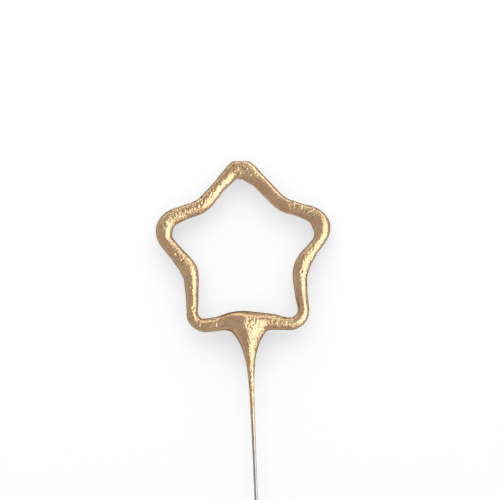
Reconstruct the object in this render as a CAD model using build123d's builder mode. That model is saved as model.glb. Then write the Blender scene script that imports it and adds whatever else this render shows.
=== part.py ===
"""Star sparkler: one bent steel wire, dipped in burning composition and then in gold paint.

The stem stands along +Z with its cut end at the origin, and the star lies in the XZ plane with its
front towards -Y. All lengths are in millimetres.
"""

import os
from math import cos, exp, radians, sin, tan

from build123d import *

# Wire
WIRE_DIAMETER = 1.2
STEM_LENGTH = 123.0  # from the cut end up to the middle of the star's bottom side
LOOP_BEND_RADIUS = 2.0  # where the wire turns from the stem into the star, and from the star into its tail
PAIR_GAP = 0.15  # between the stem and the tail that lies beside it
JOG_ANGLE = 5.0  # how far the stem leans while it steps aside for the tail, in degrees
JOG_LOWER_RADIUS = 100.0  # bend that starts the step
JOG_UPPER_RADIUS = 40.0  # bend that ends the step

# Star, measured to its corners before they are bent round
TIP_RADIUS = 32.0
VALLEY_RADIUS = 20.0
STAR_RISE = 24.0  # from the middle of the bottom side up to the star's centre

# Coats
COMPOSITION_DIAMETER = 4.4  # of the plain coat, before its swellings
GOLD_THICKNESS = 0.2
TIP_FLAT_HEIGHT = 55.0  # from the middle of the bottom side up to the flat that dried on the top tip

# Root, where the coat runs off the star down the stem
ROOT_LENGTH = 24.0
ROOT_FLARE = 11.0  # half width that the root adds to the wire at the star's bottom side
ROOT_DECAY = 5.0  # drop over which that half width falls to about a third
ROOT_HALF_DEPTH = 3.0  # front to back, where the root is wider than it is deep
ROOT_SETBACK = 1.5  # length of wire that only the gold covers at the root's foot
ROOT_SECTIONS = 13

# Knot of coat at the root's top, where both ends of the wire loop turn down
KNOT_HALF_LENGTH = 10.0  # along the star's bottom side
KNOT_HALF_HEIGHT = 3.1
KNOT_HALF_DEPTH = 3.8
KNOT_OFFSET = -3.0  # from the stem towards the tail

# The star is bent and dipped by hand, so no two corners are alike. Each list runs clockwise from the
# top tip, seen from the front, through tips and valleys in turn.
OUTWARD_ERRORS = (-1.3, 0.1, 0.6, -0.9, 0.8, 0.0, 0.2, 0.2, 1.8, 1.5)
TURN_ERRORS = (-1.3, 4.4, 1.6, 1.7, -0.2, 0.0, 1.2, 0.2, -0.3, -6.2)  # degrees
BEND_RADII = (5.2, 9.5, 6.7, 11.5, 4.5, 15.0, 4.2, 10.0, 6.2, 9.0)
CORNER_SWELL = (0.5, 0.0, 0.2, 0.15, -0.35, 0.5, -0.35, 0.35, 0.3, 0.1)  # on the coat's radius
RUN_SWELL = (0.1, -0.1, -0.25, -0.25, 0.15, 0.15, -0.25, 0.1, 0.05, -0.25)  # half way to the next corner

# Worked out from the sizes above
CORNER_COUNT = len(BEND_RADII)
BOTTOM = CORNER_COUNT // 2  # the corner that the stem joins
WIRE_RADIUS = WIRE_DIAMETER / 2
PAIR_OFFSET = (WIRE_DIAMETER + PAIR_GAP) / 2
ROOT_FOOT = STEM_LENGTH - ROOT_LENGTH


def star_corner(index):
    """A corner of the star's centreline before it is bent round."""
    reach = VALLEY_RADIUS if index % 2 else TIP_RADIUS
    if index == BOTTOM:
        reach = STAR_RISE
    reach += OUTWARD_ERRORS[index]
    angle = radians(360 * index / CORNER_COUNT + TURN_ERRORS[index])
    return Vector(reach * sin(angle), 0, STEM_LENGTH + STAR_RISE + reach * cos(angle))


corners = [star_corner(index) for index in range(CORNER_COUNT)]


def bend_ends(index):
    """The two points where a corner's bend meets the straight runs beside it."""
    corner = corners[index]
    back = (corners[index - 1] - corner).normalized()
    ahead = (corners[(index + 1) % CORNER_COUNT] - corner).normalized()
    reach = BEND_RADII[index] / tan(radians(back.get_angle(ahead) / 2))
    return corner + back * reach, corner + ahead * reach


def coat_bend(index, radius):
    """The coat round one corner: a circle carried round the corner's bend."""
    start, end = bend_ends(index)
    with BuildPart() as bend:
        with BuildLine() as arc:
            TangentArc(start, end, tangent=corners[index] - start)
        with BuildSketch(Plane(start, z_dir=corners[index] - start)):
            Circle(radius)
        sweep(path=arc.wire())
    return bend.part


def coat_run(index, start_radius, middle_radius, end_radius):
    """The coat from one corner's bend to the next: a smooth profile turned round the straight run."""
    start = bend_ends(index)[1]
    end = bend_ends((index + 1) % CORNER_COUNT)[0]
    along = end - start
    length = along.length
    with BuildPart() as run:
        with BuildSketch(Plane(start, x_dir=along, z_dir=(0, 1, 0))):
            with BuildLine():
                surface = Spline(
                    (0, start_radius),
                    (length / 2, middle_radius),
                    (length, end_radius),
                    tangents=((1, 0), (1, 0)),
                )
                Polyline(surface @ 1, (length, 0), (0, 0), surface @ 0)
            make_face()
        revolve(axis=Axis(start, along))
    return run.part


def coat_root(growth, root_length):
    """The coat down the stem: ellipses whose half width falls off exponentially, as a meniscus does."""
    with BuildPart() as root:
        for section in range(ROOT_SECTIONS):
            drop = root_length * section / (ROOT_SECTIONS - 1)
            half_width = WIRE_RADIUS + ROOT_FLARE * exp(-drop / ROOT_DECAY)
            half_depth = min(half_width, ROOT_HALF_DEPTH)
            with BuildSketch(Plane.XY.offset(STEM_LENGTH - drop)):
                Ellipse(half_width + growth, half_depth + growth)
        loft(ruled=True)
    return root.part


def coat_knot(growth):
    """The knot of coat at the root's top: half an ellipse turned round its long axis, then deepened."""
    middle = Vector(KNOT_OFFSET, 0, STEM_LENGTH)
    half_length = KNOT_HALF_LENGTH + growth
    half_height = KNOT_HALF_HEIGHT + growth
    half_depth = KNOT_HALF_DEPTH + growth
    with BuildPart() as knot:
        with BuildSketch(Plane(middle, x_dir=(1, 0, 0), z_dir=(0, -1, 0))):
            Ellipse(half_length, half_height)
            Rectangle(2 * half_length, half_height, align=(Align.CENTER, Align.MIN), mode=Mode.INTERSECT)
        revolve(axis=Axis(middle, (1, 0, 0)))
        scale(by=(1, half_depth / half_height, 1))
    return knot.part


def coat_body(growth, root_length):
    """The whole dipped coat as one closed solid, grown outwards from the composition's surface."""
    plain_radius = COMPOSITION_DIAMETER / 2 + growth
    corner_radii = [plain_radius + swell for swell in CORNER_SWELL]
    pieces = [coat_root(growth, root_length), coat_knot(growth)]
    for index, corner_radius in enumerate(corner_radii):
        next_radius = corner_radii[(index + 1) % CORNER_COUNT]
        pieces.append(coat_bend(index, corner_radius))
        pieces.append(coat_run(index, corner_radius, plain_radius + RUN_SWELL[index], next_radius))
    tip_flat = STEM_LENGTH + TIP_FLAT_HEIGHT - GOLD_THICKNESS + growth
    with BuildPart() as body:
        add(pieces)
        split(bisect_by=Plane.XY.offset(tip_flat), keep=Keep.BOTTOM)
    return body.part


composition_body = coat_body(0.0, ROOT_LENGTH - ROOT_SETBACK)
painted_body = coat_body(GOLD_THICKNESS, ROOT_LENGTH)

os.makedirs("parts", exist_ok=True)

# The wire climbs the stem, steps aside at the root, goes anticlockwise round the star and comes down
# again beside itself. The step starts at the root's foot, and the tail ends where the step is over.
jog_start = ROOT_FOOT + JOG_LOWER_RADIUS * tan(radians(JOG_ANGLE / 2))
jog_end = jog_start + PAIR_OFFSET / tan(radians(JOG_ANGLE))
tail_end = jog_end + JOG_UPPER_RADIUS * tan(radians(JOG_ANGLE / 2))
loop_order = [index % CORNER_COUNT for index in range(BOTTOM - 1, BOTTOM - CORNER_COUNT, -1)]
wire_points = [
    (0, 0, 0),
    (0, 0, jog_start),
    (PAIR_OFFSET, 0, jog_end),
    (PAIR_OFFSET, 0, STEM_LENGTH),
    *[corners[index] for index in loop_order],
    (-PAIR_OFFSET, 0, STEM_LENGTH),
    (-PAIR_OFFSET, 0, tail_end),
]
wire_bends = [
    JOG_LOWER_RADIUS,
    JOG_UPPER_RADIUS,
    LOOP_BEND_RADIUS,
    *[BEND_RADII[index] for index in loop_order],
    LOOP_BEND_RADIUS,
]

with BuildPart() as core_wire:
    with BuildLine() as route:
        FilletPolyline(*wire_points, radius=wire_bends)
    with BuildSketch(Plane.XY):
        Circle(WIRE_RADIUS)
    sweep(path=route.wire())
core_wire.part.label = "core_wire"
export_step(core_wire.part, "parts/core_wire.step")

with BuildPart() as composition_coat:
    add(composition_body)
    add(core_wire.part, mode=Mode.SUBTRACT)
composition_coat.part.label = "composition_coat"
export_step(composition_coat.part, "parts/composition_coat.step")

with BuildPart() as gold_coat:
    add(painted_body)
    add(composition_body, mode=Mode.SUBTRACT)
    add(core_wire.part, mode=Mode.SUBTRACT)
gold_coat.part.label = "gold_coat"
export_step(gold_coat.part, "parts/gold_coat.step")
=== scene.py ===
"""Looks of the star sparkler: a bent steel wire whose star is dipped in composition and painted gold.

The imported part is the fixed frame. Lengths are in metres: the stem stands along +Z with its cut end
at the origin, and the star lies in the XZ plane with its front towards -Y.
"""

import math

import bpy
import numpy as np
from bpy.props import FloatProperty, FloatVectorProperty, PointerProperty
from mathutils import Matrix, Vector


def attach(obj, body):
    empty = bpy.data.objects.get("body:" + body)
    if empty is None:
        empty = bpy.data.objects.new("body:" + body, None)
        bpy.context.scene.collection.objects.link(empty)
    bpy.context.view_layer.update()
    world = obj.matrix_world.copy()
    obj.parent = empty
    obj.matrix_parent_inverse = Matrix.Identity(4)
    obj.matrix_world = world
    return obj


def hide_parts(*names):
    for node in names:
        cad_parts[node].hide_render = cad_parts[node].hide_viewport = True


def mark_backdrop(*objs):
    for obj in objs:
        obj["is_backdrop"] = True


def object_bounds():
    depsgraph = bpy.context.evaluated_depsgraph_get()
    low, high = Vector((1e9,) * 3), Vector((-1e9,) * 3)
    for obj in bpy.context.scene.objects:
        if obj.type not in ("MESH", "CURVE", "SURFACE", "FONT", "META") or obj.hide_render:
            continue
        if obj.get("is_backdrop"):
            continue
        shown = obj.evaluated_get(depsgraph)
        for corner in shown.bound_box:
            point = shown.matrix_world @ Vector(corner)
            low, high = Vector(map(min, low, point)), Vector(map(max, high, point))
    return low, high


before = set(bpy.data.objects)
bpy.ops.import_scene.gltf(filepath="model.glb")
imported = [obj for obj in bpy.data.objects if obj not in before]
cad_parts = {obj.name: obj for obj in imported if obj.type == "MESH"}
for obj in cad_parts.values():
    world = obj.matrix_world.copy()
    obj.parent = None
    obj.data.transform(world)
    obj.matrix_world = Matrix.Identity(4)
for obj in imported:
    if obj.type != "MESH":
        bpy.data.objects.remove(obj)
cad_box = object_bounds()

bl_info = {
    "name": "Star Sparkler",
    "version": (1, 0, 0),
    "blender": (4, 5, 0),
    "location": "View3D > Sidebar > Sparkler",
    "description": "Builds a star sparkler: wire, composition, gold coat and a studio to look at it",
    "category": "Object",
}

CORNER_COUNT = 10
BOTTOM = CORNER_COUNT // 2  # the corner that the stem joins

# Where the photograph shows things, in pixels of its 500 by 500 frame
PHOTO_SIDE = 500
PHOTO_PIXEL = 0.000345  # metres to a pixel
PHOTO_TILT = math.radians(2.365)  # the star leans to the left by this much
PHOTO_BOTTOM = (248.3, 319.5)  # middle of the star's bottom side
PHOTO_PITS = (
    (252, 175), (200, 206), (302, 209), (176, 254), (182, 260), (191, 287), (193, 307),
    (301, 271), (201, 325), (228, 318),
)
PHOTO_GRAIN = (  # x, y and reach of each patch where the coat is gritty; these lie mostly on the lit upper sides, where the lighter gold paints light
    (219, 182, 7), (210, 191, 8), (201, 200, 8), (190, 206, 9), (180, 209, 9), (170, 213, 10), (165, 223, 7),
    (240, 167, 11), (294, 203, 7), (303, 205, 8), (312, 209, 8), (217, 319, 9), (275, 318, 9), (288, 319, 9),
    (250, 322, 9),
)
PHOTO_SMOOTH = (  # x, y and reach of each patch where the coat ran smooth; these lie mostly on the shaded and lower sides, where the darker gold paints shade
    (229, 180, 6), (222, 189, 6), (215, 198, 6), (209, 206, 5), (263, 189, 10), (297, 213, 6), (308, 219, 6),
    (317, 222, 10), (236, 336, 10), (187, 290, 9), (297, 288, 8), (160, 238, 7), (168, 252, 8), (205, 328, 6),
    (221, 329, 6), (270, 328, 6), (283, 328, 6),
)
NOISE_TURN = Matrix.Rotation(0.9, 3, "X") @ Matrix.Rotation(0.6, 3, "Y") @ Matrix.Rotation(1.3, 3, "Z")

# Mesh detail
RING_STEP = 0.0002  # along the star
RING_SIDES = 72
HOLE_HALF_LENGTH = 30  # rings cut away on each side of the stem, where the root grows out
HOLE_HALF_WIDTH = 12  # sides cut away towards the front and the back
ROOT_ROWS = 100
ROOT_SMOOTHINGS = 6  # rounds that even out the root's points
COAT_STEPS = 8  # steps that bring a point onto the coat
CORE_COARSENESS = 2  # how many times coarser the composition's mesh is
CORE_SMOOTHINGS = 6  # rounds that even out the directions in which it is sunk
WIRE_STEP = 0.0004
WIRE_SIDES = 28
ARC_POINTS = 40
MARKS = 4  # to a corner: its bend's start, middle and end, and a place on the run after it
LEAST_SLOPE = 0.05  # squared, below which a step onto the coat gets no longer
TINY = 1e-20  # least length to divide by

# Form of the coat and the wire
LINE_SOFTENING = 0.0007  # reach of the blur along the coat's middle line
RADIUS_SOFTENING = 0.0006
DRIFT_SOFTENING = 0.0014
ROOT_REACH = 0.016  # along the star from the stem, where the root shapes the coat
LINE_REACH = 0.022  # along the star from the stem, what the root is joined to
FLATTENING = 0.6  # share of a swelling that lies in the star's plane only
FLATTENING_FADE = 0.008
FLAT_ROUNDING = 0.00008  # at the edge of the flat on the top tip
SETTLE_DROP = 0.004  # over which the root's rows take up its cross-section
FOOT_TUCK = 0.7  # how far the root's last row is drawn in
DEPTH_POWER = 4.0  # how sharply the root's depth is held below its limit
SLUMP_FADE = 0.5  # how far an arm's outer side may face down before it slumps no more
SLUMP_FALL = 0.4  # how steeply an arm on the right has to run down to slump all the same
CUT_END = 0.86  # share of the wire's radius at its cut ends

# Grit and burst bubbles
PATCH_SIZE = 0.007  # spacing of the noise that spreads the grit
LUMP_SIZE = 0.0035
GRAIN_SIZE = 0.0005
COARSE_GRAIN_SIZE = 0.0009
COARSE_GRAIN_SHARE = 0.4
GRIT_LEAST = 0.3  # outside the photograph's patches
GRIT_SPREAD = 0.35  # what the noise adds to that
SPREAD_START = -0.2  # noise from which it adds to it
SPREAD_FADE = 0.6
PIT_START = 0.1  # how deep between the grains the darkening starts, partly dirt and partly painted shade in the hollows
PIT_FADE = 0.5
SMOOTHING = 0.8  # share of the grit that a smooth patch takes away
FRONT_EDGE = 0.0005  # how far behind the star's plane the photograph's patches end
FRONT_FADE = 0.001
FACING_GAIN = 3  # how soon a face counts as front or back
RELIEF_RISE = 0.004  # height above the root's foot at which the relief is full
RIM_HEIGHT = 0.45  # of the ring round a bubble, as a share of the bubble's depth
RIM_PLACE = 1.7  # in bubble radii
RIM_WIDTH = 0.6

# Texture of the paint, the steel and the mix: noise scales, spans of noise values, and bumps in metres
FINE_SPAN = (0.3, 0.7)
CLOUD_SCALE = 260.0
CLOUD_SPAN = (0.32, 0.68)
CLOUD_TINT = 0.4  # how far the clouds shift the gold's colour
SPECK_SCALE = 2000.0
SPECK_BUMP = 0.00026
GOLD_ROUGHNESS = (0.16, 0.28)
GOLD_BUMP_STRENGTH = (0.2, 1.0)  # smooth and gritty
LINE_SCALE = 6000.0
LINE_STRETCH = 0.02  # along the stem
LINE_BUMP = 0.00001
LINE_BUMP_STRENGTH = 0.5
STEEL_ROUGHNESS = (0.24, 0.40)
STAIN_SCALE = 300.0
STAIN_SPAN = (0.3, 0.6)
STAIN_DARKNESS = 0.72
FILM_RAGGEDNESS = 0.012  # how far stains shift the edge of the gold film
FILM_PITS = (0.8, 0.2)  # how dark the film is in stains and outside them
FILM_PIT_SPAN = (0.3, 0.5)
MIX_SCALE = 3500.0
MIX_SPAN = (0.45, 0.75)
MIX_LIGHTNESS = 3.5  # of the metal grains, over the mix
MIX_ROUGHNESS = (0.95, 0.6)
MIX_BUMP = 0.0001

# Studio
FLOOR_RADIUS = 0.13
FLOOR_POINTS = 96
FLOOR_LEVEL = -0.0002
CARD_HALF_WIDTH = 0.1
CARD_TOP = 0.245
CARD_GAP = 0.0003  # between the part and the card
LAMP_DISTANCE = 0.8
CAMERA_DISTANCE = 0.6
SENSOR_WIDTH = 36.0


def length(description, millimetres):
    """A length, written in millimetres and kept in metres."""
    return FloatProperty(description=description, default=millimetres / 1000, unit="LENGTH", precision=5)


def corner_lengths(description, millimetres):
    """One such length for each corner of the star, clockwise from the top tip."""
    metres = [value / 1000 for value in millimetres]
    return FloatVectorProperty(
        description=description, default=metres, size=CORNER_COUNT, unit="LENGTH", precision=5
    )


def corner_numbers(description, default):
    """One plain number for each corner of the star, clockwise from the top tip."""
    return FloatVectorProperty(description=description, default=default, size=CORNER_COUNT)


def plain_number(description, default, least, most):
    """A plain number within limits."""
    return FloatProperty(description=description, default=default, min=least, max=most)


def angle(description, degrees):
    """An angle, written in degrees and kept in radians."""
    return FloatProperty(description=description, default=math.radians(degrees), subtype="ANGLE")


def colour(description, default):
    """A colour in linear light."""
    return FloatVectorProperty(
        description=description, default=default, size=3, subtype="COLOR", min=0.0, max=1.0
    )


class SparklerSizes(bpy.types.PropertyGroup):
    """Sizes of the wire, the star and its coat."""

    wire_diameter: length("Thickness of the steel wire", 1.2)
    stem_length: length("From the cut end up to the star's bottom side", 123.0)
    loop_bend_radius: length("Bend where the wire turns into the star", 2.0)
    pair_gap: length("Gap between the stem and the tail inside the root", 0.15)
    jog_angle: angle("Lean of the stem where it steps aside for the tail", 5.0)
    jog_lower_radius: length("Bend that starts the step", 100.0)
    jog_upper_radius: length("Bend that ends the step", 40.0)
    tip_radius: length("From the star's centre to its tips", 32.0)
    valley_radius: length("From the star's centre to its valleys", 20.0)
    star_rise: length("From the bottom side up to the star's centre", 24.0)
    outward_errors: corner_lengths(
        "How far each corner was bent outwards of its true place",
        (-1.3, 0.1, 0.6, -0.9, 0.8, 0.0, 0.2, 0.2, 1.8, 1.5),
    )
    turn_errors: corner_numbers(
        "How far each corner was bent round from its true place, in degrees",
        (-1.3, 4.4, 1.6, 1.7, -0.2, 0.0, 1.2, 0.2, -0.3, -6.2),
    )
    bend_radii: corner_lengths(
        "Bend of the wire at each corner",
        (5.2, 9.5, 6.7, 11.5, 4.5, 15.0, 4.2, 10.0, 6.2, 9.0),
    )
    coat_diameter: length("Thickness of the painted coat before its swellings", 4.8)
    swell_before: corner_lengths(
        "What the coat's radius gains where each bend starts",
        (0.15, 0.0, 0.2, 0.15, -0.45, 0.3, -0.05, 0.1, 0.0, 0.1),
    )
    swell_at: corner_lengths(
        "What the coat's radius gains in the middle of each bend",
        (1.15, 0.05, 0.7, 0.35, -0.35, 0.3, -0.35, 0.6, 0.55, 0.1),
    )
    swell_after: corner_lengths(
        "What the coat's radius gains where each bend ends",
        (0.65, 0.0, -0.3, 0.0, -0.2, 0.2, -0.5, 0.45, 0.3, 0.1),
    )
    run_swell: corner_lengths(
        "What the coat's radius gains on the run after each corner, at its run place",
        (0.1, -0.1, -0.25, -0.25, 0.2, 0.05, -0.25, 0.1, 0.05, -0.2),
    )
    run_place: corner_numbers(
        "Where on the run after each corner its own swell and drift are reached, from 0 to 1",
        (0.28, 0.5, 0.5, 0.5, 0.5, 0.5, 0.5, 0.5, 0.5, 0.5),
    )
    drift_before: corner_lengths(
        "How far the coat lies outside the wire where each bend starts",
        (-0.2, 0.0, -0.25, 0.0, 0.0, 0.0, 0.0, -0.1, 0.0, -0.1),
    )
    drift_at: corner_lengths(
        "How far the coat lies outside the wire in the middle of each bend",
        (0.0, 0.0, 0.1, 0.0, 0.0, 0.0, -0.1, 0.0, 0.0, 0.0),
    )
    drift_after: corner_lengths(
        "How far the coat lies outside the wire where each bend ends",
        (-0.5, 0.0, -0.05, -0.05, 0.1, 0.0, 0.1, 0.0, -0.1, 0.0),
    )
    drift_run: corner_lengths(
        "How far the coat lies outside the wire on the run after each corner, at its run place",
        (0.05, 0.0, 0.0, -0.2, 0.1, -0.05, -0.15, 0.0, 0.0, 0.05),
    )
    slump: plain_number("Shift of the coat's crest towards the star's top, in coat radii", 0.35, 0.0, 0.45)
    tip_flat_height: length("From the bottom side up to the flat on the top tip", 54.8)
    tip_flat_tilt: angle("How far the flat on the top tip falls to the right", 2.4)
    root_length: length("How far the coat runs down the stem", 24.0)
    root_flare: length("Half width that the root adds at the star's bottom side", 10.0)
    root_decay: length("Drop over which that half width falls to about a third", 6.0)
    root_half_depth: length("Front to back, where the root is wider than deep", 3.9)
    root_dome: length("How far the root's rounded top reaches over the bottom side", 2.4)
    root_blend: length("Reach of the rounding between the root and the star", 1.2)
    crest_lean: length("How far the root's crest lies beside the stem at its top", -1.7)
    crest_power: plain_number("Power of the root's outline at its top: 2 is oval, 1 lozenge", 1.35, 1.0, 2.0)
    knot_half_length: length("Knot of coat at the root's top, sideways", 6.2)
    knot_half_height: length("Knot of coat at the root's top, upwards", 3.1)
    knot_half_depth: length("Knot of coat at the root's top, front to back", 3.9)
    knot_power: plain_number("Power of the knot's outline from its end: 2 is oval, 4 squarer", 4.0, 2.0, 6.0)
    knot_offset: length("Middle of the knot, sideways from the stem", -3.8)
    knot_blend: length("Reach of the rounding between the knot and the rest", 1.2)
    skin_thickness: length("Gold paint over the composition", 0.2)
    foot_thickness: length("Gold paint at the foot of the root", 0.08)
    film_decay: length("How fast the gold film thins out down the stem", 12.0)
    film_start: length("How far below the bottom side the gold film starts to fade", 29.0)
    film_end: length("How far below the bottom side the gold film ends", 48.0)


class SparklerFinish(bpy.types.PropertyGroup):
    """Colours and surface of the wire, the composition, the gold and the studio."""

    # The two gold tones are partly painted light and shade: the darker, pinker one goes where the coat is
    # smooth, mostly on the shaded and lower sides, and the lighter, yellower one where it is gritty, mostly
    # on the lit upper sides.
    gold_smooth_painted_shade: colour("Gold paint where it ran smooth", (0.55, 0.34, 0.207))
    gold_gritty_painted_light: colour("Gold paint over grit", (0.62, 0.45, 0.26))
    # Dark gold in the hollows between the grains: partly dirt, partly painted shade.
    gold_pits_dirt_and_shade: colour("Gold paint in the pits between the grit", (0.22, 0.145, 0.075))
    # A near-black edge tint, so the rims reflect dark: painted shade along the rims.
    gold_edge_painted_shade: colour("Tint of the gold where it is seen edge on", (0.05, 0.045, 0.04))
    steel: colour("Drawn wire", (0.37, 0.366, 0.355))
    composition: colour("Dried burning mix", (0.10, 0.10, 0.095))
    floor_paper: colour("Floor of the studio", (0.55, 0.55, 0.55))
    card_paper: colour("Card behind the star, before its lift", (0.52, 0.52, 0.52))
    card_lift: plain_number("Light that the card adds where it is seen", 0.505, 0.0, 1.0)
    surroundings: colour("Plain light from all round", (0.66, 0.66, 0.66))
    lump_height: length("Unevenness of the dipped coat", 0.06)
    grain_height: length("Grit in the gold coat", 0.12)
    pit_depth: length("Depth of the burst bubbles", 0.2)
    pit_radius: length("Half width of the burst bubbles", 0.4)


def photo_point(pixel):
    """X and Z of the star's plane at a photograph pixel: offset from the bottom side, turned back upright."""
    sizes = bpy.context.scene.sparkler_sizes
    right = (np.asarray(pixel, float)[..., 0] - PHOTO_BOTTOM[0]) * PHOTO_PIXEL
    up = (PHOTO_BOTTOM[1] - np.asarray(pixel, float)[..., 1]) * PHOTO_PIXEL
    x = right * math.cos(PHOTO_TILT) + up * math.sin(PHOTO_TILT)
    z = up * math.cos(PHOTO_TILT) - right * math.sin(PHOTO_TILT) + sizes.stem_length
    return np.stack([x, z], axis=-1)


def unit(vectors):
    """Vectors made one long."""
    return vectors / np.maximum(np.linalg.norm(vectors, axis=-1, keepdims=True), TINY)


def ease(share):
    """Smooth step from 0 to 1 with level ends: 3 t^2 - 2 t^3."""
    held = np.clip(share, 0.0, 1.0)
    return held * held * (3 - 2 * held)


def lattice_value(cells, seed):
    """A repeatable value from -1 to 1 for each whole-number cell, by mixing the bits of its place."""
    mixed = (cells @ np.array([73856093, 19349663, 83492791]) + seed * 15485863) & 0xFFFFFFFF
    mixed = ((mixed ^ (mixed >> 15)) * 2246822519) & 0xFFFFFFFF
    mixed = ((mixed ^ (mixed >> 13)) * 3266489917) & 0xFFFFFFFF
    mixed = mixed ^ (mixed >> 16)
    return mixed / 2147483647.5 - 1


def soft_noise(points, size, seed):
    """Smooth random heights from -1 to 1: lattice values eased between turned cells of that size."""
    scaled = points @ np.array(NOISE_TURN) / size
    cells = np.floor(scaled).astype(np.int64)
    share = scaled - cells
    eased = share**3 * (share * (share * 6 - 15) + 10)
    height = np.zeros(len(points))
    for step in np.ndindex(2, 2, 2):
        weight = np.prod(np.where(step, eased, 1 - eased), axis=1)
        height += weight * lattice_value(cells + np.array(step), seed)
    return height


def star_corners(sizes):
    """Corners of the star's centreline, clockwise from the top: reach times sine and cosine of the turn."""
    index = np.arange(CORNER_COUNT)
    reach = np.where(index % 2, sizes.valley_radius, sizes.tip_radius)
    reach[BOTTOM] = sizes.star_rise
    reach = reach + np.array(sizes.outward_errors)
    turn = np.radians(360 * index / CORNER_COUNT + np.array(sizes.turn_errors))
    centre_height = sizes.stem_length + sizes.star_rise
    return np.stack([reach * np.sin(turn), centre_height + reach * np.cos(turn)], axis=1)


def bent_line(points, radii):
    """Straight runs joined by arcs through the given corners, in the XZ plane.

    An arc of radius R fills a corner of half angle h between points R / tan(h) along both runs. It is
    swung from one of these to the other about its centre. Returns the points and the lengths along the
    line at which each arc starts and ends.
    """
    points = np.asarray(points, float)
    radii = np.asarray(radii, float)
    corner = points[1:-1]
    back = unit(points[:-2] - corner)
    ahead = unit(points[2:] - corner)
    half = np.arccos(np.clip((back * ahead).sum(axis=1), -1, 1)) / 2
    centre = corner + unit(back + ahead) * (radii / np.sin(half))[:, None]
    reach = (radii / np.tan(half))[:, None]
    from_arm = (corner + back * reach - centre)[:, None, :]
    to_arm = (corner + ahead * reach - centre)[:, None, :]
    swing = (np.pi - 2 * half)[:, None]
    share = np.linspace(0, 1, ARC_POINTS)[None, :]
    from_weight = (np.sin((1 - share) * swing) / np.sin(swing))[..., None]
    to_weight = (np.sin(share * swing) / np.sin(swing))[..., None]
    arcs = centre[:, None, :] + from_weight * from_arm + to_weight * to_arm
    line = np.concatenate([points[:1], arcs.reshape(-1, 2), points[-1:]])
    along = np.concatenate([[0.0], np.cumsum(np.linalg.norm(np.diff(line, axis=0), axis=1))])
    arc_along = along[1:-1].reshape(-1, ARC_POINTS)
    return line, along, arc_along[:, [0, -1]]


def evenly(line, along, count):
    """The line's points at even lengths along it, both ends included."""
    stations = np.linspace(0, along[-1], count)
    return np.stack([np.interp(stations, along, line[:, axis]) for axis in range(2)], axis=1), stations


def softened(values, reach, step):
    """A closed run of values, blurred by a bell curve of that reach."""
    rate = np.fft.fftfreq(len(values), step)
    return np.fft.ifft(np.fft.fft(values) * np.exp(-0.5 * (2 * np.pi * rate * reach) ** 2))


def outwards(tangent):
    """Direction in the star's plane that lies to the left of a line's direction."""
    return np.stack([-tangent[..., 1], tangent[..., 0]], axis=-1)


def in_space(flat):
    """Places or directions of the star's plane, with a Y of nothing put in."""
    return np.insert(flat, 1, 0.0, axis=-1)


def between_marks(kinds, span, share):
    """A value that eases from mark to mark of the closed star, from one list for each kind of mark."""
    values = np.array(kinds).T.ravel()
    values = np.concatenate([values[-MARKS:], values, values[:MARKS]])
    return values[span] * (1 - share) + values[span + 1] * share


def star_line(sizes, ring_step):
    """Middle line of the coat, closed and evenly spaced, with the coat's radius at each point.

    The radius and the drift off the wire ease from mark to mark. Returns the bottom point's number too.
    """
    corners = star_corners(sizes)
    seam = (corners[-1] + corners[0]) / 2
    line, along, arcs = bent_line([seam, *corners, seam], sizes.bend_radii)
    count = int(round(along[-1] / ring_step))
    points, stations = evenly(line, along, count + 1)
    points, stations = points[:-1], stations[:-1]
    step = along[-1] / count
    smooth = softened(points[:, 0] + 1j * points[:, 1], LINE_SOFTENING, step)
    points = np.stack([smooth.real, smooth.imag], axis=1)

    next_start = np.append(arcs[1:, 0], arcs[0, 0] + along[-1])
    on_run = arcs[:, 1] + (next_start - arcs[:, 1]) * np.array(sizes.run_place)
    marks = np.stack([arcs[:, 0], arcs.mean(axis=1), arcs[:, 1], on_run], axis=1).ravel()
    marks = np.concatenate([marks[-MARKS:] - along[-1], marks, marks[:MARKS] + along[-1]])
    span = np.searchsorted(marks, stations, side="right") - 1
    share = ease((stations - marks[span]) / (marks[span + 1] - marks[span]))
    swells = (sizes.swell_before, sizes.swell_at, sizes.swell_after, sizes.run_swell)
    radius = sizes.coat_diameter / 2 + between_marks(swells, span, share)
    radius = softened(radius, RADIUS_SOFTENING, step).real
    drifts = (sizes.drift_before, sizes.drift_at, sizes.drift_after, sizes.drift_run)
    drift = softened(between_marks(drifts, span, share), DRIFT_SOFTENING, step).real
    ahead = unit(np.roll(points, -1, axis=0) - np.roll(points, 1, axis=0))
    points = points + drift[:, None] * outwards(ahead)
    bottom = int(round(arcs[BOTTOM].mean() / step))
    return points, radius, bottom


def rings(line, tangent, radius, depth, sides):
    """Ellipses carried along a flat line: point = line + radius cos v outward + depth sin v Y."""
    turn = 2 * np.pi * np.arange(sides) / sides
    sideways = np.outer(radius, np.cos(turn))[..., None] * in_space(outwards(tangent))[:, None, :]
    frontways = np.outer(depth, np.sin(turn))[..., None] * np.array([0.0, 1.0, 0.0])
    return in_space(line)[:, None, :] + sideways + frontways


def strip_quads(index):
    """Four-sided faces between the neighbouring rows and columns of a grid of point numbers."""
    return np.stack([index[:-1, :-1], index[1:, :-1], index[1:, 1:], index[:-1, 1:]], axis=-1).reshape(-1, 4)


def face_sums(values, quads, count):
    """For each of that many points, the sum of the vectors of the faces round it."""
    total = np.zeros((count, 3))
    for side in range(4):
        np.add.at(total, quads[:, side], values)
    return total


def point_normals(points, quads):
    """Outward direction at each point: the sum of its faces' cross products, made one long."""
    first = points[quads[:, 2]] - points[quads[:, 0]]
    second = points[quads[:, 3]] - points[quads[:, 1]]
    return unit(face_sums(np.cross(first, second), quads, len(points)))


def evened(directions, quads, rounds):
    """Directions at points, each round replaced by the mean of those on the faces round the point."""
    for _ in range(rounds):
        directions = unit(face_sums(directions[quads].sum(axis=1), quads, len(directions)))
    return directions


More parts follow.
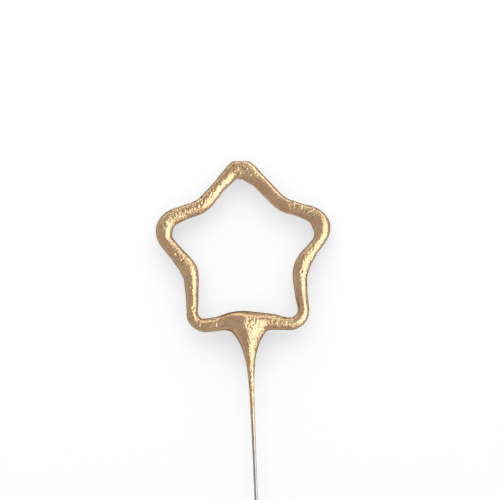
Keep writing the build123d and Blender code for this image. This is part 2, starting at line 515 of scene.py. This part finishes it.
def paint_thickness(height, sizes):
    """Thickness of the gold: even on the star, and thinning out evenly down the root."""
    thin = np.clip((sizes.stem_length - height) / sizes.root_length, 0.0, 1.0)
    return sizes.skin_thickness * (1 - thin) + sizes.foot_thickness * thin


def root_half_sizes(height, sizes):
    """Half width and half depth of the root at a height.

    Half width = wire + flare e^(-drop / decay) + paint. The half depth is the same, held below a limit.
    """
    drop = np.clip(sizes.stem_length - height, 0.0, sizes.root_length)
    paint = paint_thickness(height, sizes)
    half_width = sizes.wire_diameter / 2 + sizes.root_flare * np.exp(-drop / sizes.root_decay)
    held = half_width**-DEPTH_POWER + sizes.root_half_depth**-DEPTH_POWER
    half_depth = held ** (-1 / DEPTH_POWER)
    return half_width + paint, half_depth + paint


def outside(points, excess):
    """How far points are outside a form, about, and which way is out: its excess over its slope."""
    nudge = 0.00001
    slope = np.stack(
        [(excess(points + nudge * axis) - excess(points - nudge * axis)) / (2 * nudge) for axis in np.eye(3)],
        axis=1,
    )
    steep = np.maximum(np.linalg.norm(slope, axis=1), 1.0)
    return excess(points) / steep, slope / steep[:, None]


def root_field(points, sizes):
    """Distance outside the root, about.

    Its cross-section is |x / width|^p + |y / depth|^p = 1 about a crest that leans aside. The power p goes
    from its value at the bottom side to 2 as the flare dies down, and a dome closes the top.
    """

    def excess(at):
        half_width, half_depth = root_half_sizes(at[:, 2], sizes)
        drop = np.clip(sizes.stem_length - at[:, 2], 0.0, sizes.root_length)
        share = np.exp(-drop / sizes.root_decay)
        crest = sizes.crest_lean * share
        power = 2 - (2 - sizes.crest_power) * share
        beside = at[:, 0] - crest
        across = np.abs(beside) / np.where(beside > 0, half_width - crest, half_width + crest)
        deep = np.abs(at[:, 1]) / half_depth
        high = np.maximum(at[:, 2] - sizes.stem_length, 0.0) / sizes.root_dome
        return np.hypot((across**power + deep**power) ** (1 / power), high) - 1

    return outside(points, excess)


def knot_field(points, sizes):
    """Distance outside the knot at the root's top, about.

    It is a round of (x / length)^2 + s^2 = 1, where s^p = |y / depth|^p + |z / height|^p is squarer.
    """
    middle = np.array([sizes.knot_offset, 0.0, sizes.stem_length])
    half = np.array([sizes.knot_half_length, sizes.knot_half_depth, sizes.knot_half_height])

    def excess(at):
        along, deep, high = np.abs((at - middle) / half).T
        squarer = (deep**sizes.knot_power + high**sizes.knot_power) ** (1 / sizes.knot_power)
        return np.hypot(along, squarer) - 1

    return outside(points, excess)


def slumped(tangent, radius, front, sizes):
    """Shift of the coat's crest towards the star's top: slump times radius times rise times front squared.

    Rise is how far the arm's outer side faces up. Where that side faces down, the shift fades out,
    except on arms that run down from a tip on the right.
    """
    rise = tangent[..., 0]
    fall = -tangent[..., 1] - SLUMP_FALL
    shift = sizes.slump * radius * rise * ease(SLUMP_FADE + np.maximum(rise, fall)) * front**2
    return shift[..., None] * in_space(outwards(tangent))


def tube_field(points, line, tangent, radius, sizes):
    """How far points are outside the star's tube, and which way is out.

    That is the distance to the tube's middle line less the radius there, with the slump undone first.
    """
    across = points[:, [0, 2]]
    gap = ((across[:, None, :] - line[None, :, :]) ** 2).sum(axis=2)
    nearest = gap.argmin(axis=1)
    front = np.clip(points[:, 1] / radius[nearest], -1, 1)
    away = points - slumped(tangent[nearest], radius[nearest], front, sizes)
    away[:, [0, 2]] -= line[nearest]
    distance = np.linalg.norm(away, axis=1)
    return distance - radius[nearest], unit(away)


def rounded_union(first, second, reach):
    """Field and slope of two forms joined with a rounding.

    The fields blend as b (1 - h) + a h - k h (1 - h), where h goes from one to the other over the reach k.
    """
    share = np.clip(0.5 + 0.5 * (second[0] - first[0]) / reach, 0, 1)
    field = second[0] * (1 - share) + first[0] * share - reach * share * (1 - share)
    slope = second[1] * (1 - share)[:, None] + first[1] * share[:, None]
    return field, slope


def onto_coat(points, line, tangent, radius, sizes):
    """Moves points onto the rounded union of tube, root and knot, each step down the slope of its field."""
    for _ in range(COAT_STEPS):
        low = rounded_union(root_field(points, sizes), knot_field(points, sizes), sizes.knot_blend)
        field, slope = rounded_union(tube_field(points, line, tangent, radius, sizes), low, sizes.root_blend)
        points = points - slope * (field / np.maximum((slope**2).sum(axis=1), LEAST_SLOPE))[:, None]
    return points


def coat_surface(sizes, coarse):
    """Points and faces of the dipped coat: rings round the star, with a root drawn down from a gap in them.

    A coarse surface has that many times fewer rings, sides and rows.
    """
    ring_step = RING_STEP * coarse
    sides = RING_SIDES // coarse
    half_length = HOLE_HALF_LENGTH // coarse
    half_wide = HOLE_HALF_WIDTH // coarse
    rows = ROOT_ROWS // coarse
    line, radius, bottom = star_line(sizes, ring_step)
    shift = bottom - len(line) // 2
    line = np.roll(line, -shift, axis=0)
    radius = np.roll(radius, -shift)
    middle = len(line) // 2
    tangent = unit(np.roll(line, -1, axis=0) - np.roll(line, 1, axis=0))

    # Away from the root, most of a swelling lies in the star's plane
    from_root = np.abs(np.arange(len(line)) - middle) * ring_step
    plain = sizes.coat_diameter / 2
    flattening = FLATTENING * ease((from_root - ROOT_REACH) / FLATTENING_FADE)
    depth = radius - flattening * (radius - plain)
    tube = rings(line, tangent, radius, depth, sides)
    front = np.sin(2 * np.pi * np.arange(sides) / sides)[None, :]
    tube += slumped(np.repeat(tangent[:, None, :], sides, axis=1), radius[:, None], front, sizes)

    flat = sizes.stem_length + sizes.tip_flat_height - tube[..., 0] * math.tan(sizes.tip_flat_tilt)
    over = (tube[..., 2] - flat) / FLAT_ROUNDING
    tube[..., 2] = flat - FLAT_ROUNDING * np.logaddexp(0, -over)

    # Point numbers of the rings, with the front and back sides next to each other
    count = len(line)
    number = np.arange(count * sides).reshape(count, sides)
    number = np.roll(number, half_wide, axis=1)
    closed = np.pad(number, ((0, 1), (0, 1)), mode="wrap")
    quads = strip_quads(closed).reshape(count, sides, 4)
    keep = np.ones((count, sides), bool)
    first, last = middle - half_length, middle + half_length
    wide = 2 * half_wide
    keep[first:last, :wide] = False
    quads = quads[keep]

    # The gap's rim, once round: left side, back, right side, front
    rim = np.concatenate(
        [
            number[last, :wide],
            number[last:first:-1, wide],
            number[first, wide:0:-1],
            number[first:last, 0],
        ]
    )
    points = tube.reshape(-1, 3)
    reach = int(LINE_REACH / ring_step)
    local = slice(middle - reach, middle + reach + 1)
    joined = (line[local], tangent[local], radius[local], sizes)
    near = number[from_root < ROOT_REACH].ravel()
    points[near] = onto_coat(points[near], *joined)

    top = points[rim]
    foot_height = sizes.stem_length - sizes.root_length
    share = (np.arange(1, rows + 1) / rows)[:, None]
    height = top[None, :, 2] * (1 - share) + foot_height * share
    half_width, half_depth = root_half_sizes(height, sizes)
    turn = np.arctan2(top[:, 1] / np.abs(top[:, 1]).max(), top[:, 0] / np.abs(top[:, 0]).max())
    settle = ease((top[None, :, 2] - height) / SETTLE_DROP)
    x = top[None, :, 0] * (1 - settle) + half_width * np.cos(turn) * settle
    y = top[None, :, 1] * (1 - settle) + half_depth * np.sin(turn) * settle
    root = np.stack([x, y, height], axis=-1).reshape(-1, 3)
    root = onto_coat(root, *joined)
    # Each round puts points between their neighbours and then back onto the coat
    for _ in range(ROOT_SMOOTHINGS):
        grid = np.concatenate([top[None], root.reshape(rows, -1, 3)])
        beside = (np.roll(grid, 1, axis=1) + np.roll(grid, -1, axis=1)) / 4
        grid[1:-1] = beside[1:-1] + (grid[:-2] + grid[2:]) / 4
        root = onto_coat(grid[1:].reshape(-1, 3), *joined)

    # The last row tucks in under the film on the stem
    tucked = root.reshape(rows, -1, 3)[-1] * np.array([FOOT_TUCK, FOOT_TUCK, 1.0])
    root = np.concatenate([root, tucked])
    root_number = len(points) + np.arange(len(root)).reshape(rows + 1, -1)
    root_index = np.concatenate([rim[None, :], root_number])
    root_index = np.pad(root_index, ((0, 0), (0, 1)), mode="wrap")
    root_quads = strip_quads(root_index)[:, ::-1]

    points = np.concatenate([points, root])
    quads = np.concatenate([quads, root_quads])
    used, renumbered = np.unique(quads, return_inverse=True)
    foot = np.searchsorted(used, root_number[-1]).tolist()
    return points[used], renumbered.reshape(quads.shape), foot


def patch_share(points, patches):
    """How far points of the front lie in the photograph's patches: a bell curve of each patch's reach."""
    patches = np.array(patches, float)
    centres = photo_point(patches[:, :2])
    gap = np.linalg.norm(points[:, None, [0, 2]] - centres[None], axis=2) / (patches[:, 2] * PHOTO_PIXEL)
    return np.exp(-(gap**2)).max(axis=1) * ease((FRONT_EDGE - points[:, 1]) / FRONT_FADE)


def grit_mask(points):
    """Where the coat is gritty, from 0 to 1: soft patches all round, and those of the photograph in front."""
    # The grit also picks the gold's tone, so these patches paint light on the lit sides and shade on the
    # shaded ones
    spread = soft_noise(points, PATCH_SIZE, seed=11)
    everywhere = GRIT_LEAST + GRIT_SPREAD * ease((spread - SPREAD_START) / SPREAD_FADE)
    smoothed = everywhere * (1 - SMOOTHING * patch_share(points, PHOTO_SMOOTH))
    return np.maximum(smoothed, patch_share(points, PHOTO_GRAIN))


def relief_share(points, sizes):
    """How much of the coat's relief is there, from none at the root's foot."""
    return ease((points[:, 2] - (sizes.stem_length - sizes.root_length)) / RELIEF_RISE)


def pit_relief(points, centres, facing, finish):
    """Burst bubbles on one face: a bell-shaped hollow with a low ring round it."""
    gap = np.linalg.norm(points[:, None, [0, 2]] - centres[None], axis=2) / finish.pit_radius
    relief = RIM_HEIGHT * np.exp(-(((gap - RIM_PLACE) / RIM_WIDTH) ** 2)) - np.exp(-(gap**2))
    return finish.pit_depth * relief.sum(axis=1) * facing


def add_object(name, data):
    """A new object in the scene."""
    made = bpy.data.objects.new(name, data)
    bpy.context.scene.collection.objects.link(made)
    return made


def mesh_object(name, points, faces):
    """A smooth-shaded object at the origin whose mesh holds these points and faces."""
    mesh = bpy.data.meshes.new(name)
    mesh.from_pydata(points.tolist(), [], faces)
    mesh.polygons.foreach_set("use_smooth", np.ones(len(mesh.polygons), bool))
    mesh.update()
    return add_object(name, mesh)


def new_material(name):
    """An empty node material with its output."""
    material = bpy.data.materials.new(name)
    material.use_nodes = True
    tree = material.node_tree
    tree.nodes.clear()
    output = tree.nodes.new("ShaderNodeOutputMaterial")
    return material, tree, output


def add_node(tree, kind, **inputs):
    """A new node, each of whose named inputs is linked to a socket or set to a value."""
    node = tree.nodes.new(kind)
    for name, value in inputs.items():
        socket = node.inputs[name.replace("_", " ").title()]
        if isinstance(value, bpy.types.NodeSocket):
            tree.links.new(value, socket)
        else:
            socket.default_value = value
    return node


def noise_node(tree, place, scale, detail, roughness=0.5):
    """A noise texture on the given coordinates."""
    noise = add_node(tree, "ShaderNodeTexNoise", vector=place, scale=scale, detail=detail)
    noise.inputs["Roughness"].default_value = roughness
    return noise.outputs["Fac"]


def ranged(tree, value, low, high, from_low=0.0, from_high=1.0):
    """A value brought from one range to another."""
    node = add_node(tree, "ShaderNodeMapRange", value=value, to_min=low, to_max=high)
    node.inputs["From Min"].default_value = from_low
    node.inputs["From Max"].default_value = from_high
    return node.outputs["Result"]


def two_colours(tree, share, first, second):
    """A colour between two, by a share from 0 to 1."""
    ramp = add_node(tree, "ShaderNodeValToRGB", fac=share)
    ramp.color_ramp.elements[0].color = (*first, 1.0)
    ramp.color_ramp.elements[1].color = (*second, 1.0)
    return ramp.outputs["Color"]


def worked(tree, operation, first, second):
    """Two values put together by a sum, a product or another operation."""
    node = tree.nodes.new("ShaderNodeMath")
    node.operation = operation
    tree.links.new(first, node.inputs[0])
    tree.links.new(second, node.inputs[1])
    return node.outputs["Value"]


def mixed_shader(tree, share, first, second):
    """A surface between two, by a share from 0 to 1."""
    both = add_node(tree, "ShaderNodeMixShader", fac=share)
    tree.links.new(first, both.inputs[1])
    tree.links.new(second, both.inputs[2])
    return both.outputs["Shader"]


def add_bump(tree, shader, height, depth, strength):
    """Bumps of that depth and strength on a shader's surface."""
    bump = add_node(tree, "ShaderNodeBump", height=height, distance=depth, strength=strength)
    tree.links.new(bump.outputs["Normal"], shader.inputs["Normal"])


def gold_shader(tree, place, grit, pits, finish):
    """Satin metallic paint: lighter and yellower where it is gritty, which paints light, and darker in the
    pits, partly as dirt and partly as painted shade, with a fine uneven gloss.
    """
    cloud = noise_node(tree, place, CLOUD_SCALE, 4.0, 0.6)
    tint = ranged(tree, cloud, -CLOUD_TINT, CLOUD_TINT, *CLOUD_SPAN)
    # Grit moves the tone from the darker gold, painted shade, to the lighter one, painted light
    share = worked(tree, "ADD", tint, grit)
    pitted = tree.nodes.new("ShaderNodeMix")
    pitted.data_type = "RGBA"
    tree.links.new(pits, pitted.inputs["Factor"])
    tree.links.new(two_colours(tree, share, finish.gold_smooth_painted_shade, finish.gold_gritty_painted_light), pitted.inputs[6])
    pitted.inputs[7].default_value = (*finish.gold_pits_dirt_and_shade, 1.0)
    speck = noise_node(tree, place, SPECK_SCALE, 1.0)
    shader = add_node(
        tree,
        "ShaderNodeBsdfPrincipled",
        base_color=pitted.outputs[2],
        metallic=1.0,
        roughness=ranged(tree, speck, *GOLD_ROUGHNESS, *FINE_SPAN),
        # The near-black edge tint paints shade along the rims
        specular_tint=(*finish.gold_edge_painted_shade, 1.0),
    )
    add_bump(tree, shader, speck, SPECK_BUMP, ranged(tree, grit, *GOLD_BUMP_STRENGTH))
    return shader


def gold_paint(finish):
    """The star's gold paint, whose grit and pits are kept on the mesh."""
    material, tree, output = new_material("gold_paint")
    place = tree.nodes.new("ShaderNodeTexCoord").outputs["Object"]
    kept = []
    for name in ("grit", "pits"):
        attribute = tree.nodes.new("ShaderNodeAttribute")
        attribute.attribute_name = name
        kept.append(attribute.outputs["Fac"])
    shader = gold_shader(tree, place, *kept, finish)
    tree.links.new(shader.outputs["BSDF"], output.inputs["Surface"])
    return material


def wire_steel(sizes, finish):
    """Drawn steel with fine lines along the stem, under a gold film that fades out below the root."""
    material, tree, output = new_material("wire_steel")
    place = tree.nodes.new("ShaderNodeTexCoord").outputs["Object"]
    lengthwise = add_node(tree, "ShaderNodeMapping", vector=place, scale=(1.0, 1.0, LINE_STRETCH))
    lines = noise_node(tree, lengthwise.outputs["Vector"], LINE_SCALE, 2.0)
    stain = noise_node(tree, place, STAIN_SCALE, 3.0)
    darker = tuple(STAIN_DARKNESS * part for part in finish.steel)
    clean = ranged(tree, stain, 0.0, 1.0, *STAIN_SPAN)
    steel = add_node(
        tree,
        "ShaderNodeBsdfPrincipled",
        base_color=two_colours(tree, clean, darker, finish.steel),
        metallic=1.0,
        roughness=ranged(tree, lines, *STEEL_ROUGHNESS, *FINE_SPAN),
    )
    add_bump(tree, steel, lines, LINE_BUMP, LINE_BUMP_STRENGTH)

    # Stains shift the height at which the film fades, and their middle value lifts it by half the shift
    height = add_node(tree, "ShaderNodeSeparateXYZ", vector=place).outputs["Z"]
    ragged = worked(tree, "ADD", height, ranged(tree, stain, 0.0, FILM_RAGGEDNESS))
    lifted = sizes.stem_length + FILM_RAGGEDNESS / 2
    film = ranged(tree, ragged, 0.0, 1.0, lifted - sizes.film_end, lifted - sizes.film_start)
    pits = worked(tree, "MULTIPLY", ranged(tree, stain, *FILM_PITS, *FILM_PIT_SPAN), film)
    gold = gold_shader(tree, place, film, pits, finish)
    surface = mixed_shader(tree, film, steel.outputs["BSDF"], gold.outputs["BSDF"])
    tree.links.new(surface, output.inputs["Surface"])
    return material


def dried_mix(finish):
    """The burning composition: dark grey and gritty, with bright metal grains."""
    material, tree, output = new_material("composition")
    place = tree.nodes.new("ShaderNodeTexCoord").outputs["Object"]
    grains = noise_node(tree, place, MIX_SCALE, 3.0, 0.7)
    lighter = tuple(MIX_LIGHTNESS * part for part in finish.composition)
    share = ranged(tree, grains, 0.0, 1.0, *MIX_SPAN)
    shader = add_node(
        tree,
        "ShaderNodeBsdfPrincipled",
        base_color=two_colours(tree, share, finish.composition, lighter),
        roughness=ranged(tree, grains, *MIX_ROUGHNESS),
    )
    add_bump(tree, shader, grains, MIX_BUMP, 1.0)
    tree.links.new(shader.outputs["BSDF"], output.inputs["Surface"])
    return material


def paper_sheet(name, paper, lift_strength, one_sided):
    """Matt paper with a lift to white in what the camera and reflections see.

    The card behind the star is left out where it is seen from its back.
    """
    material, tree, output = new_material(name)
    shader = add_node(tree, "ShaderNodeBsdfDiffuse", color=(*paper, 1.0))
    path = tree.nodes.new("ShaderNodeLightPath")
    seen = path.outputs["Is Camera Ray"]
    for kind in ("Is Glossy Ray", "Is Transmission Ray"):
        seen = worked(tree, "MAXIMUM", seen, path.outputs[kind])
    lift = add_node(tree, "ShaderNodeEmission", strength=ranged(tree, seen, 0.0, lift_strength))
    lifted = tree.nodes.new("ShaderNodeAddShader")
    tree.links.new(shader.outputs["BSDF"], lifted.inputs[0])
    tree.links.new(lift.outputs["Emission"], lifted.inputs[1])
    surface = lifted.outputs["Shader"]
    if one_sided:
        behind = tree.nodes.new("ShaderNodeNewGeometry").outputs["Backfacing"]
        clear = tree.nodes.new("ShaderNodeBsdfTransparent").outputs["BSDF"]
        surface = mixed_shader(tree, behind, surface, clear)
    tree.links.new(surface, output.inputs["Surface"])
    return material


def area_lamp(name, target, direction, up, size, radiance):
    """A soft box that faces the target from a direction, with its height towards up.

    Size is its width and height, and its power is radiance times pi times their product.
    """
    data = bpy.data.lights.new(name, "AREA")
    data.shape = "RECTANGLE"
    data.size, data.size_y = size
    data.energy = radiance * math.pi * size[0] * size[1]
    lamp = add_object(name, data)
    towards = Vector(direction).normalized()
    right = Vector(up).cross(towards).normalized()
    turned = Matrix((right, towards.cross(right), towards)).transposed()
    lamp.matrix_world = Matrix.Translation(Vector(target) + towards * LAMP_DISTANCE) @ turned.to_4x4()
    lamp.visible_camera = False
    return lamp


class SPARKLER_OT_add_wire(bpy.types.Operator):
    """Bends the steel wire: stem, step beside the tail, loop of the star and tail"""

    bl_idname = "sparkler.add_wire"
    bl_label = "Add Wire"

    def execute(self, context):
        sizes = context.scene.sparkler_sizes
        finish = context.scene.sparkler_finish
        wire_radius = sizes.wire_diameter / 2
        offset = wire_radius + sizes.pair_gap / 2
        root_foot = sizes.stem_length - sizes.root_length
        jog_start = root_foot + sizes.jog_lower_radius * math.tan(sizes.jog_angle / 2)
        jog_end = jog_start + offset / math.tan(sizes.jog_angle)
        tail_end = jog_end + sizes.jog_upper_radius * math.tan(sizes.jog_angle / 2)
        order = np.arange(BOTTOM - 1, BOTTOM - CORNER_COUNT, -1) % CORNER_COUNT
        route = np.concatenate(
            [
                [[0, 0], [0, jog_start], [offset, jog_end], [offset, sizes.stem_length]],
                star_corners(sizes)[order],
                [[-offset, sizes.stem_length], [-offset, tail_end]],
            ]
        )
        bends = np.concatenate(
            [
                [sizes.jog_lower_radius, sizes.jog_upper_radius, sizes.loop_bend_radius],
                np.array(sizes.bend_radii)[order],
                [sizes.loop_bend_radius],
            ]
        )
        line, along, _ = bent_line(route, bends)
        line, stations = evenly(line, along, int(along[-1] / WIRE_STEP))
        tangent = unit(np.gradient(line, axis=0))

        # The film thins out from the root's foot downwards, and the cut ends are slightly rounded
        below = root_foot - stations
        flare = sizes.root_flare * math.exp(-sizes.root_length / sizes.root_decay)
        thinned = np.where(below > 0, np.exp(-below / sizes.film_decay), 0.0)
        radius = wire_radius + (sizes.foot_thickness + flare) * thinned
        end_gap = np.minimum(stations, along[-1] - stations)
        radius *= np.where(end_gap < WIRE_STEP / 2, CUT_END, 1.0)
        tube = rings(line, tangent, radius, radius, WIRE_SIDES)
        number = np.arange(tube.shape[0] * WIRE_SIDES).reshape(-1, WIRE_SIDES)
        quads = strip_quads(np.pad(number, ((0, 0), (0, 1)), mode="wrap"))
        faces = [*quads.tolist(), number[0].tolist(), number[-1, ::-1].tolist()]
        wire = mesh_object("steel_wire", tube.reshape(-1, 3), faces)
        wire.data.materials.append(wire_steel(sizes, finish))
        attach(wire, "root")
        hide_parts("core_wire")
        return {"FINISHED"}


class SPARKLER_OT_add_composition(bpy.types.Operator):
    """Dips the star in composition: the coat's form, sunk below the paint and its burst bubbles"""

    bl_idname = "sparkler.add_composition"
    bl_label = "Add Composition"

    def execute(self, context):
        sizes = context.scene.sparkler_sizes
        finish = context.scene.sparkler_finish
        points, quads, foot = coat_surface(sizes, CORE_COARSENESS)
        normals = evened(point_normals(points, quads), quads, CORE_SMOOTHINGS)
        sunk = paint_thickness(points[:, 2], sizes) + finish.pit_depth / 2 * relief_share(points, sizes)
        points = points - normals * sunk[:, None]
        mix = mesh_object("composition_core", points, [*quads.tolist(), foot])
        mix.data.materials.append(dried_mix(finish))
        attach(mix, "root")
        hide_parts("composition_coat")
        return {"FINISHED"}


class SPARKLER_OT_add_gold_coat(bpy.types.Operator):
    """Dips the star in gold: a skin round the star with its root, lumps, grit and burst bubbles"""

    bl_idname = "sparkler.add_gold_coat"
    bl_label = "Add Gold Coat"

    def execute(self, context):
        sizes = context.scene.sparkler_sizes
        finish = context.scene.sparkler_finish
        points, quads, foot = coat_surface(sizes, coarse=1)
        normals = point_normals(points, quads)
        grit = grit_mask(points)
        relief = finish.lump_height * soft_noise(points, LUMP_SIZE, seed=3)
        fine = soft_noise(points, GRAIN_SIZE, seed=6)
        coarse = soft_noise(points, COARSE_GRAIN_SIZE, seed=5)
        relief += finish.grain_height * grit * (fine + COARSE_GRAIN_SHARE * coarse)
        # Darker between the grains: partly dirt, partly painted shade in the hollows
        pits = grit * ease((-fine - PIT_START) / PIT_FADE)
        front = ease(-normals[:, 1] * FACING_GAIN)
        back = ease(normals[:, 1] * FACING_GAIN)
        centres = photo_point(PHOTO_PITS)
        relief += pit_relief(points, centres, front, finish)
        relief += pit_relief(points, centres * np.array([-1.0, 1.0]), back, finish)
        relief *= relief_share(points, sizes)
        points = points + normals * relief[:, None]
        coat = mesh_object("gold_skin", points, [*quads.tolist(), foot])
        for name, values in (("grit", grit), ("pits", pits)):
            attribute = coat.data.attributes.new(name, "FLOAT", "POINT")
            attribute.data.foreach_set("value", values.astype(np.float32))
        coat.data.materials.append(gold_paint(finish))
        coat.visible_diffuse = False
        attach(coat, "root")
        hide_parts("gold_coat")
        return {"FINISHED"}


class SPARKLER_OT_add_stage(bpy.types.Operator):
    """Sets up the studio: floor, white card behind the star, soft boxes and camera"""

    bl_idname = "sparkler.add_stage"
    bl_label = "Add Stage"

    def execute(self, context):
        scene = context.scene
        sizes = scene.sparkler_sizes
        finish = scene.sparkler_finish
        scene.view_settings.view_transform = "Standard"

        card_behind = max(cad_box[1].y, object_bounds()[1].y) + CARD_GAP
        turn = np.linspace(0, 2 * np.pi, FLOOR_POINTS, endpoint=False)
        level = np.full(FLOOR_POINTS, FLOOR_LEVEL)
        disc = np.stack([FLOOR_RADIUS * np.cos(turn), FLOOR_RADIUS * np.sin(turn), level], axis=1)
        floor = mesh_object("floor", disc, [list(range(FLOOR_POINTS))])
        floor.data.materials.append(paper_sheet("floor_paper", finish.floor_paper, 0.0, False))
        card_corners = ((-1, FLOOR_LEVEL), (1, FLOOR_LEVEL), (1, CARD_TOP), (-1, CARD_TOP))
        card_points = np.array([[side * CARD_HALF_WIDTH, card_behind, z] for side, z in card_corners])
        card = mesh_object("card", card_points, [[0, 1, 2, 3]])
        card.data.materials.append(paper_sheet("card_paper", finish.card_paper, finish.card_lift, True))
        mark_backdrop(floor, card)

        star = (0.0, 0.0, sizes.stem_length + sizes.star_rise)
        upright = (0, 0, 1)
        lying = (0, 1, 0)
        key = area_lamp("soft_box_right", star, (0.72, -0.62, -0.34), upright, (0.92, 1.4), radiance=2.0)
        key.data.shape = "ELLIPSE"
        key.visible_diffuse = False
        high = area_lamp("soft_box_side", star, (0.8, -0.25, 0.55), upright, (0.4, 0.4), radiance=1.5)
        high.visible_diffuse = False
        area_lamp("soft_box_top", star, (0.1, -0.3, 0.95), lying, (2.0, 0.4), radiance=1.5)
        over = area_lamp("soft_box_card", star, (0.0, -0.67, 0.74), lying, (1.2, 0.5), radiance=1.8)
        over.visible_glossy = False

        world = bpy.data.worlds.new("studio")
        world.use_nodes = True
        world.node_tree.nodes["Background"].inputs["Color"].default_value = (*finish.surroundings, 1.0)
        scene.world = world

        data = bpy.data.cameras.new("camera")
        camera = add_object("camera", data)
        data.sensor_width = SENSOR_WIDTH
        data.lens = SENSOR_WIDTH * CAMERA_DISTANCE / (PHOTO_SIDE * PHOTO_PIXEL)
        middle = photo_point((PHOTO_SIDE / 2 - 0.5, PHOTO_SIDE / 2 - 0.5))
        right = Vector((math.cos(PHOTO_TILT), 0.0, -math.sin(PHOTO_TILT)))
        up = Vector((math.sin(PHOTO_TILT), 0.0, math.cos(PHOTO_TILT)))
        turned = Matrix((right, up, Vector((0.0, -1.0, 0.0)))).transposed()
        place = Matrix.Translation((middle[0], -CAMERA_DISTANCE, middle[1]))
        camera.matrix_world = place @ turned.to_4x4()
        scene.camera = camera
        return {"FINISHED"}


class SPARKLER_PT_panel(bpy.types.Panel):
    """Lists the sparkler's sizes, finishes and pieces."""

    bl_label = "Sparkler"
    bl_idname = "SPARKLER_PT_panel"
    bl_space_type = "VIEW_3D"
    bl_region_type = "UI"
    bl_category = "Sparkler"

    def draw(self, context):
        layout = self.layout
        for operator in OPERATORS:
            layout.operator(operator.bl_idname)
        for group in (context.scene.sparkler_sizes, context.scene.sparkler_finish):
            box = layout.box()
            for name in group.__annotations__:
                box.prop(group, name, text=name.replace("_", " ").capitalize())


OPERATORS = (
    SPARKLER_OT_add_wire,
    SPARKLER_OT_add_composition,
    SPARKLER_OT_add_gold_coat,
    SPARKLER_OT_add_stage,
)
CLASSES = (SparklerSizes, SparklerFinish, *OPERATORS, SPARKLER_PT_panel)


def register():
    for made in CLASSES:
        bpy.utils.register_class(made)
    bpy.types.Scene.sparkler_sizes = PointerProperty(type=SparklerSizes)
    bpy.types.Scene.sparkler_finish = PointerProperty(type=SparklerFinish)


def unregister():
    del bpy.types.Scene.sparkler_finish
    del bpy.types.Scene.sparkler_sizes
    for made in reversed(CLASSES):
        bpy.utils.unregister_class(made)


def main():
    register()
    bpy.ops.sparkler.add_wire()
    bpy.ops.sparkler.add_composition()
    bpy.ops.sparkler.add_gold_coat()
    bpy.ops.sparkler.add_stage()


if __name__ == "__main__":
    main()
